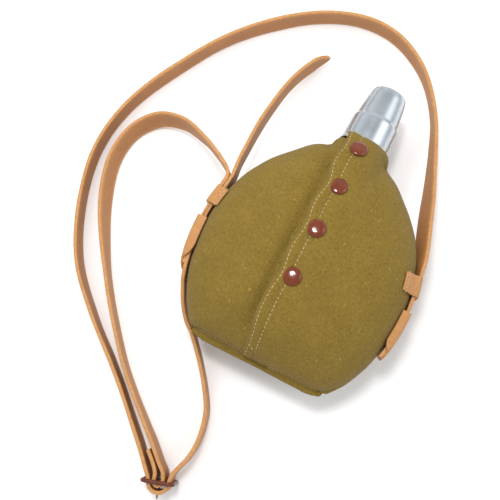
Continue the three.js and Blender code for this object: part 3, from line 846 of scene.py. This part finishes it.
def flapLift(x, y):
    rise = 1 - ease(x, 4, flap["easeTo"])
    foot = 0.35 * ease(y, 0, 4) + 0.65 * ease(y, 3, 26)
    edge = np.clip((flap["free"] + flap["roll"] - x) / flap["roll"], 0, 1)
    roll = np.sqrt(np.clip(1 - edge ** 2, 0, 1))
    ridge = flap["ridge"] * bell(x - flap["ridgeAt"], flap["ridgeHalf"]) * ease(y, 14, 40)
    lift = (flap["lift"] * rise * foot + ridge) * (0.1 + 0.9 * roll)
    for row in (flap["rowOuter"], flap["rowInner"]):
        lift = lift - flap["rowPress"] * bell(x - row, flap["rowHalf"])
    for tall in flap["snapHeights"]:
        lift = lift - flap["snapPress"] * bell(np.hypot(x, y - tall), flap["snapReach"])
    return lift + flap["ripple"] * softNoise(x * 0.5, y * 1.6, 8, 21) * bell(x + 4, 6.0)


def finishPanel(name, x, y, lift, side, skip=None):
    rows, columns = x.shape
    points = seat(x, y, lift, side).reshape(-1, 3)
    faces = gridFaces(rows, columns)
    if skip is not None:
        faces = [f for f in faces if not skip(x.ravel()[list(f)], y.ravel()[list(f)])]
    a, b, c = points[list(faces[len(faces) // 2][:3])]
    if side * np.cross(b - a, c - a)[2] < 0:
        faces = [tuple(reversed(f)) for f in faces]
    piece = addMesh(name, points, faces, woolFelt)
    wall = piece.modifiers.new("thickness", "SOLIDIFY")
    wall.thickness = cover["felt"] * mm
    wall.offset = -1
    wall.use_even_offset = False
    bakeModifiers(piece)
    smooth(piece, 65)
    return piece


def heightSteps():
    power = 2 / cover["power"]
    low = [cover["widest"] * (1 - math.cos(a) ** power) for a in np.linspace(0, math.pi / 2, 46)][:-1]
    fine = list(np.linspace(0, 12, 19))
    high = list(np.linspace(cover["widest"], cover["collarTop"], 62))
    return np.array(sorted(set(round(v, 3) for v in fine + [h for h in low if h > 12.6] + high)))


def sideSteps(count):
    # Shares of the way to the outline, closer together where the felt turns down.
    angles = np.linspace(math.pi / 2, 0, count)
    return np.cos(angles) ** (2 / cover["power"])


def makeCover():
    y = heightSteps()[:, None]
    wide = felt.halfWidth(y)
    # Right front panel with the flap that closes the front
    strip = np.array([-10, -9.8, -9.4, -8.9, -8.3, -7.6, -6.9, -6.2, -5.4, -4.4, -3.2, -2.2, -1.4, -0.6,
                      0.6, 2, 3.6, 5.4, 7.4, flap["sewn"]])
    share = sideSteps(34)[1:]
    right = np.hstack([np.repeat(strip[None, :], len(y), 0), flap["sewn"] + (wide - flap["sewn"]) * share])
    rightY = np.repeat(y, right.shape[1], 1)
    swayed = right + edgeSway(right, rightY)
    lift = flapLift(right, rightY) + hang(right, rightY, 2)
    closing = flap["low"] - 0.01
    rightPanel = finishPanel("feltRightFlap", swayed, rightY, lift, 1,
                             lambda px, py: px.mean() < flap["sewn"] and py.min() < closing)
    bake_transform(rightPanel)
    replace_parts(rightPanel, "cover_front_right", "cover_flap")
    # Left front panel, which runs on under the flap
    lead = np.array([flap["sewn"], 7, 4, 1, -2, -5, -8, -9.5, -11, -12.5, -14, -16, -18, -20, -22.5])
    leadEdge = lead[-1]
    narrow = np.minimum(1, (wide - 3) / -leadEdge)
    leadX = np.where(lead < 0, lead * narrow, lead)
    endX = leadX[:, -1:]
    left = np.hstack([leadX, endX - (wide + endX) * share])
    leftY = np.repeat(y, left.shape[1], 1)
    clear = ease(leftY, 8, 40)
    dip = -flap["valley"] * bell(left + 13, 4.0) * clear
    swell = flap["swell"] * bell(left + 28, 9.0) * clear * (1 - ease(leftY, 150, 178))
    lower = -0.3 * (1 - ease(-left, 6, 12))
    leftPanel = finishPanel("feltLeft", left, leftY, dip + swell + lower + hang(left, leftY, 5), 1)
    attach(leftPanel, "canteen")
    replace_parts(leftPanel, "cover_front_left")
    # Back
    both = np.hstack([-share[::-1], [0], share])
    back = wide * both[None, :]
    backY = np.repeat(y, back.shape[1], 1)
    backPanel = finishPanel("feltBack", back, backY, hang(back, backY, 8) - 0.4, -1)
    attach(backPanel, "canteen")
    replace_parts(backPanel, "cover_back")
    return rightPanel, leftPanel, backPanel


rightPanel, leftPanel, backPanel = makeCover()


def restOnFloor(piece, clear=0.0004, depth=0.003):
    # The back is pressed flat where it lies.
    for vertex in piece.data.vertices:
        if vertex.co.z < clear:
            vertex.co.z = clear - clear * min(1.0, (clear - vertex.co.z) / depth)
    piece.data.update()


restOnFloor(backPanel)
print("cover made")


# Stitches: a small tree lays a thread along any line of points
stitch = {"spacing": 3.1, "length": 2.1, "thick": 0.62, "seed": 3}


def stitchTree():
    tree = bpy.data.node_groups.new("stitchRow", "GeometryNodeTree")
    tree.interface.new_socket("Line", in_out="INPUT", socket_type="NodeSocketGeometry")
    ports = {}
    for name, kind in (("Spacing", "Float"), ("Length", "Float"), ("Thickness", "Float"), ("Seed", "Int"),
                       ("Thread", "Material")):
        port = tree.interface.new_socket(name, in_out="INPUT", socket_type="NodeSocket" + kind)
        ports[name] = port.identifier
    tree.interface.new_socket("Stitches", in_out="OUTPUT", socket_type="NodeSocketGeometry")
    add = tree.nodes.new
    given, result = add("NodeGroupInput"), add("NodeGroupOutput")
    line = add("GeometryNodeMeshToCurve")
    spots = add("GeometryNodeCurveToPoints")
    spots.mode = "LENGTH"
    thread = add("GeometryNodeMeshUVSphere")
    thread.inputs["Segments"].default_value = 8
    thread.inputs["Rings"].default_value = 6
    thread.inputs["Radius"].default_value = 0.5
    size = add("ShaderNodeCombineXYZ")
    shape = add("GeometryNodeTransform")
    vary = add("FunctionNodeRandomValue")
    vary.data_type = "FLOAT"
    vary.inputs[2].default_value = 0.82
    vary.inputs[3].default_value = 1.12
    place = add("GeometryNodeInstanceOnPoints")
    solid = add("GeometryNodeRealizeInstances")
    coat = add("GeometryNodeSetMaterial")
    for source, output, target, socket in (
            (given, "Line", line, "Mesh"), (line, "Curve", spots, "Curve"),
            (given, "Spacing", spots, "Length"),
            (given, "Thickness", size, "X"), (given, "Thickness", size, "Y"), (given, "Length", size, "Z"),
            (thread, "Mesh", shape, "Geometry"), (size, "Vector", shape, "Scale"),
            (given, "Seed", vary, "Seed"), (spots, "Points", place, "Points"),
            (shape, "Geometry", place, "Instance"), (spots, "Rotation", place, "Rotation"),
            (vary, 1, place, "Scale"), (place, "Instances", solid, "Geometry"),
            (solid, "Geometry", coat, "Geometry"), (given, "Thread", coat, "Material"),
            (coat, "Geometry", result, "Stitches")):
        tree.links.new(source.outputs[output], target.inputs[socket])
    return tree, ports


stitchNodes, stitchPorts = stitchTree()


def sewLines(name, lines, body, spacing=stitch["spacing"], length=stitch["length"], thick=stitch["thick"]):
    points, edges = [], []
    for line in lines:
        start = len(points)
        points += [tuple(p) for p in line]
        edges += [(start + i, start + i + 1) for i in range(len(line) - 1)]
    mesh = bpy.data.meshes.new(name)
    mesh.from_pydata(points, edges, [])
    piece = bpy.data.objects.new(name, mesh)
    scene.collection.objects.link(piece)
    rule = piece.modifiers.new("stitches", "NODES")
    rule.node_group = stitchNodes
    rule[stitchPorts["Spacing"]] = spacing * mm
    rule[stitchPorts["Length"]] = length * mm
    rule[stitchPorts["Thickness"]] = thick * mm
    rule[stitchPorts["Seed"]] = stitch["seed"]
    rule[stitchPorts["Thread"]] = linenThread
    bakeModifiers(piece)
    smooth(piece, 180)
    settle(piece, body, "felt")


def flapLine(xs, ys):
    xs, ys = np.array(xs, float), np.array(ys, float)
    return seat(xs + edgeSway(xs, ys), ys, flapLift(xs, ys) + hang(xs, ys, 2) + 0.12)


def sewCover():
    ys = np.linspace(13, 177, 120)
    rows = [flapLine(np.full(120, flap["rowOuter"]), ys), flapLine(np.full(120, flap["rowInner"]), ys)]
    rows.append(flapLine(np.linspace(flap["rowOuter"], flap["rowInner"], 8), np.linspace(13.2, 10.4, 8)))
    rows.append(flapLine(np.linspace(flap["rowOuter"], -7.6, 6), np.linspace(12.6, 5.2, 6)))
    sewLines("flapStitches", rows, "flap")
    hemX = np.linspace(-50, 50, 110)
    hemY = np.full_like(hemX, 4.3)
    plain = hang(hemX, hemY, 5)
    lift = np.where(hemX > flap["sewn"], hang(hemX, hemY, 2) + flapLift(hemX, hemY), plain) + 0.1
    back = seat(hemX, hemY, hang(hemX, hemY, 8) - 0.3, -1)
    for name, line in (("hemStitches", seat(hemX, hemY, lift)), ("hemStitchesBack", back)):
        sewLines(name, [line], "canteen", thick=0.5, length=1.7, spacing=2.9)


sewCover()
print("stitches made")


# Snaps: cap and socket on the flap, stud and post on the left panel
snap = {
    "capRadius": 6.4, "capHeight": 2.4, "flange": 4.5, "shank": 1.3, "post": 0.9, "bore": 2.0,
    "top": 4.2, "under": 2.0, "gap": 0.3, "inside": -3.2,
}


def snapSeats():
    made = []
    reachUp, reachDown = cover["shoulder"] - cover["widest"], cover["widest"]
    radii, tops = zip(*[(r, h) for r, h in cover["flare"] if h >= 136])

    def crown(y):
        share = min(1.0, abs(y - cover["widest"]) / (reachUp if y > cover["widest"] else reachDown))
        lens = cover["thickness"] / 2 * math.sqrt(1 - share ** cover["power"])
        return max(lens, float(np.interp(y, tops, radii, left=0.0)))

    for y in flap["snapHeights"]:
        lean = math.atan2(crown(y - 4) - crown(y + 4), 8)
        place = Matrix.Translation(rowPoint(0, y, crown(y)))
        made.append(place @ Matrix.Rotation(-lean, 4, "X") @ Matrix.Scale(mm, 4))
    return made


def makeSnaps():
    r, h, top = snap["capRadius"], snap["capHeight"], snap["top"]
    rim = top + snap["gap"]
    cap = roundedProfile([(nearAxis, rim), (r - 0.5, rim), (r, rim + 0.25), (r, rim + 0.6),
                          (r * 0.9, top + h * 0.62), (r * 0.62, top + h * 0.9), (r * 0.3, top + h * 0.985),
                          (nearAxis, top + h)], 1.2, 5)
    under = snap["under"]
    shank = [(nearAxis, under), (snap["shank"], under), (snap["shank"], rim + 0.2), (nearAxis, rim + 0.2)]
    low, high = under - 1, under - snap["gap"]
    socket = roundedProfile([(snap["bore"], low), (snap["flange"], low), (snap["flange"], high),
                             (snap["bore"], high), (snap["bore"], low)], 0.25, 3)
    stud = roundedProfile([(nearAxis, 0.3), (snap["flange"], 0.3), (snap["flange"], 0.7),
                           (snap["bore"] - 0.4, 0.8), (snap["bore"] - 0.3, high - 0.3),
                           (nearAxis, high - 0.3)], 0.2, 3)
    inside = snap["inside"] + 0.3
    post = roundedProfile([(nearAxis, inside), (snap["flange"], inside), (snap["flange"], -2.3),
                           (snap["post"], -2.3), (snap["post"], 0.1), (nearAxis, 0.1)], 0.2, 3)
    seats = snapSeats()
    for name, profiles, material, kind, body, slot in (
            ("snapCaps", [cap, shank], brownEnamel, "snap_cap", "flap", "enamel"),
            ("snapSockets", [socket], nickelPlate, "snap_socket", "flap", "nickel"),
            ("snapStuds", [stud], nickelPlate, "snap_stud", "canteen", "nickel"),
            ("snapPosts", [post], nickelPlate, "snap_post", "canteen", "nickel")):
        piece = turnedPiece(name, profiles, 48, material, seats)
        settle(piece, body, slot, *[f"{kind}_{i + 1}" for i in range(len(seats))])


makeSnaps()
print("snaps made")

# Flask, cork and cup stand on the neck's axis, along +Y
flask = {
    "inset": 3.2, "neck": 15.7, "thread": 1.2, "mouth": 14.2, "mouthTop": 208.5, "wall": 1.2,
    "corkDepth": 22.0, "corkFit": 0.25, "hemGap": 1.0,
}
cup = {"base": 179.7, "length": 48.9, "radius": 19.5, "step": 22.5, "top": 13.3, "wall": 0.9}
upNeck = Matrix.Translation(rowPoint(0, 0, 0)) @ Matrix.Rotation(-math.pi / 2, 4, "X") @ Matrix.Scale(mm, 4)


def makeFlask():
    form = CoverForm(flask["inset"])
    low = flask["inset"] + 0.02
    neckStart, sides, neck = 172.0, 96, flask["neck"]
    turns = np.linspace(0, 2 * math.pi, sides, endpoint=False)
    bend = np.sign(np.cos(turns)) * np.abs(np.cos(turns)) ** (2 / cover["power"])
    rows = []
    steps = [cover["widest"] - (cover["widest"] - low) * math.cos(a) ** (2 / cover["power"])
             for a in np.linspace(0, math.pi / 2, 20)]
    steps = steps[:-1] + list(np.linspace(cover["widest"], neckStart, 40))
    for y in steps:
        x = float(form.halfWidth(y)) * bend
        z = np.sign(np.sin(turns)) * form.height(x, np.full(sides, y))
        raised = y + float(hemRise(y, cover["hem"] + flask["hemGap"]))
        rows.append(np.stack([x, np.full(sides, raised), z], -1))
    collar = cover["collarTop"]
    radius = float(form.halfWidth(neckStart))
    upper = [(radius * 0.93, neckStart + 2.2), (neck + 1.2, neckStart + 5),
             (neck, collar), (neck, collar + 2.2)]
    for thread in (4.0, 9.0):
        upper += [(neck, collar + thread - 1.6), (neck + flask["thread"], collar + thread - 0.4),
                  (neck + flask["thread"], collar + thread + 0.4), (neck, collar + thread + 1.6)]
    top, mouth = flask["mouthTop"], flask["mouth"]
    upper += [(neck, collar + 13), (mouth, collar + 18), (mouth, top - 2.8), (mouth + 0.9, top - 2.2),
              (mouth + 0.9, top - 0.6), (mouth - 0.2, top), (mouth - 1.2, top - 0.1)]
    for r, y in roundedProfile(upper, 0.7, 3):
        rows.append(np.stack([r * np.cos(turns), np.full(sides, y), r * np.sin(turns)], -1))
    points = np.vstack(rows)
    faces = gridFaces(len(rows), sides, True)
    piece = addMesh("flask", rowPoint(points[:, 0], points[:, 1], points[:, 2]), faces, spunAluminium)
    outward(piece, 1e-5)
    wall = piece.modifiers.new("wall", "SOLIDIFY")
    wall.thickness = flask["wall"] * mm * 0.9
    wall.offset = -1
    bakeModifiers(piece)
    smooth(piece, 45)
    settle(piece, "canteen", "aluminium", "flask_body")


def makeStopper():
    bore = flask["mouth"] - flask["wall"] - flask["corkFit"]
    mouthTop = flask["mouthTop"]
    foot, top = mouthTop - flask["corkDepth"], mouthTop + 3
    body = roundedProfile([(nearAxis, foot), (bore - 1.2, foot), (bore, mouthTop - 2), (bore, top),
                           (nearAxis, top)], 0.6, 3)
    settle(turnedPiece("corkStopper", [body], 64, bottleCork, [upNeck]), "stopper", "cork", "stopper_cork")
    low = top + 0.3
    head = roundedProfile([(nearAxis, low), (bore - 0.6, low), (bore - 0.6, low + 1.2), (4.2, low + 1.6),
                           (3.6, low + 3.4), (5.4, low + 5), (5.4, low + 6.4), (4.4, low + 7.2),
                           (nearAxis, low + 7.2)], 0.7, 4)
    knob = turnedPiece("corkKnob", [head], 64, spunAluminium, [upNeck])
    settle(knob, "stopper", "aluminium", "stopper_head")


def makeCup():
    step, end, wall, rim, top = cup["step"], cup["length"], cup["wall"], cup["radius"], cup["top"]
    skirt, upper = rim - 1.3, rim - 2.6
    outer = [(rim - wall * 0.5, 0), (rim, 0.25), (rim, 1.3), (skirt + 0.35, 2.9), (skirt - 0.3, step - 1),
             (upper, step + 1.2), (top + 1, end - 5), (top, end - 1.4), (top - 1.7, end), (nearAxis, end)]
    inner = [(nearAxis, end - wall), (top - 2.2, end - wall), (top - wall, end - 2.4),
             (top + 1 - wall, end - 5.2), (upper - wall, step + 0.8), (skirt - 0.3 - wall, step - 1.4),
             (skirt - wall + 0.4, 2.4), (rim - wall, 0.2), (rim - wall * 0.5, 0)]
    shaped = roundedProfile([(r, h + cup["base"]) for r, h in outer + inner], 1.3, 5)
    piece = turnedPiece("drinkingCup", [shaped], 128, spunAluminium, [upNeck], 60)
    settle(piece, "cup", "aluminium", "cup_cap")


makeFlask()
makeStopper()
makeCup()
print("metal made")

# Leather loops sewn to the cover's sides
loops = {
    "paleness": 0.65, "thick": 1.6, "flat": 9.5, "slope": 3.4, "samples": 48, "rise": 12,
    "keeperRight": (1, 94.3, 108.7, 20.5, 18.0, 3.4), "keeperLeft": (-1, 90.8, 105.2, 15.5, 18.0, 5.2),
    "anchorRight": (1, 45.5, 82.5, 11.5, 12.0, 3.2), "anchorLeft": (-1, 40.5, 80.0, 11.5, 12.0, 5.0),
}


def makeLoop(name, nodeName, pointed):
    side, low, high, front, behind, pocket = loops[name]
    half = cover["thickness"] / 2
    points, count, seam = [], loops["samples"], ([], [])
    heights = np.linspace(low, high, loops["rise"] if pointed else 6)
    for y in heights:
        base, normal = sideAt(y)
        fromLow = min(1.0, 2 * (y - low) / (high - low))
        narrowed = 0.3 + 0.7 * math.sqrt(max(0.0, 1 - (1 - fromLow) ** 2)) if pointed else 1.0
        row = []
        for z in np.linspace(-behind * narrowed, front * narrowed, count):
            share = max(0.0, 1 - (z / half) ** 2) ** (1 / cover["power"])
            onFelt = -(cover["width"] / 2) * (1 - share) + 0.5
            roof = pocket * (0.6 + 0.4 * narrowed) - max(0.0, abs(z) - loops["flat"]) * loops["slope"]
            row.append((z, max(onFelt, roof)))
        row = np.array(row)
        for _ in range(3):
            row[1:-1, 1] = row[1:-1, 1] * 0.5 + (row[:-2, 1] + row[2:, 1]) * 0.25
        tangent = unit(np.gradient(row, axis=0))
        outer = row + np.stack([-tangent[:, 1], tangent[:, 0]], 1) * loops["thick"]
        if not pointed:
            for spot, line in ((-3, seam[0]), (2, seam[1])):
                z, out = outer[spot] + (outer[spot] - row[spot]) * 0.08
                line.append(rowPoint(side * (base + normal.x * out), y + normal.y * out, z))
        for z, out in np.vstack([row, outer[::-1]]):
            points.append(rowPoint(side * (base + normal.x * out), y + normal.y * out, z))
    columns = 2 * count
    rows = len(heights)
    faces = gridFaces(rows, columns, True)
    for first in (0, (rows - 1) * columns):
        faces += [tuple(first + j for j in (i, i + 1, columns - 2 - i, columns - 1 - i))
                  for i in range(count - 1)]
    piece = addMesh(name, points, faces, saddleLeather)
    outward(piece)
    edge = piece.modifiers.new("worn", "BEVEL")
    edge.width = 0.45 * mm
    edge.segments = 2
    edge.limit_method = "ANGLE"
    edge.angle_limit = math.radians(50)
    bakeModifiers(piece)
    smooth(piece, 50)
    markEdges(piece, [loops["paleness"]] * len(piece.data.vertices))
    settle(piece, "canteen", "leather", nodeName)
    if not pointed:
        sewLines(name + "Stitches", [softCurve(line, 0.8 * mm) for line in seam], "canteen", 2.6, 2.0, 0.6)


makeLoop("keeperRight", "keeper_right", False)
makeLoop("keeperLeft", "keeper_left", False)
makeLoop("anchorRight", "anchor_right", True)
makeLoop("anchorLeft", "anchor_left", True)
print("loops made")
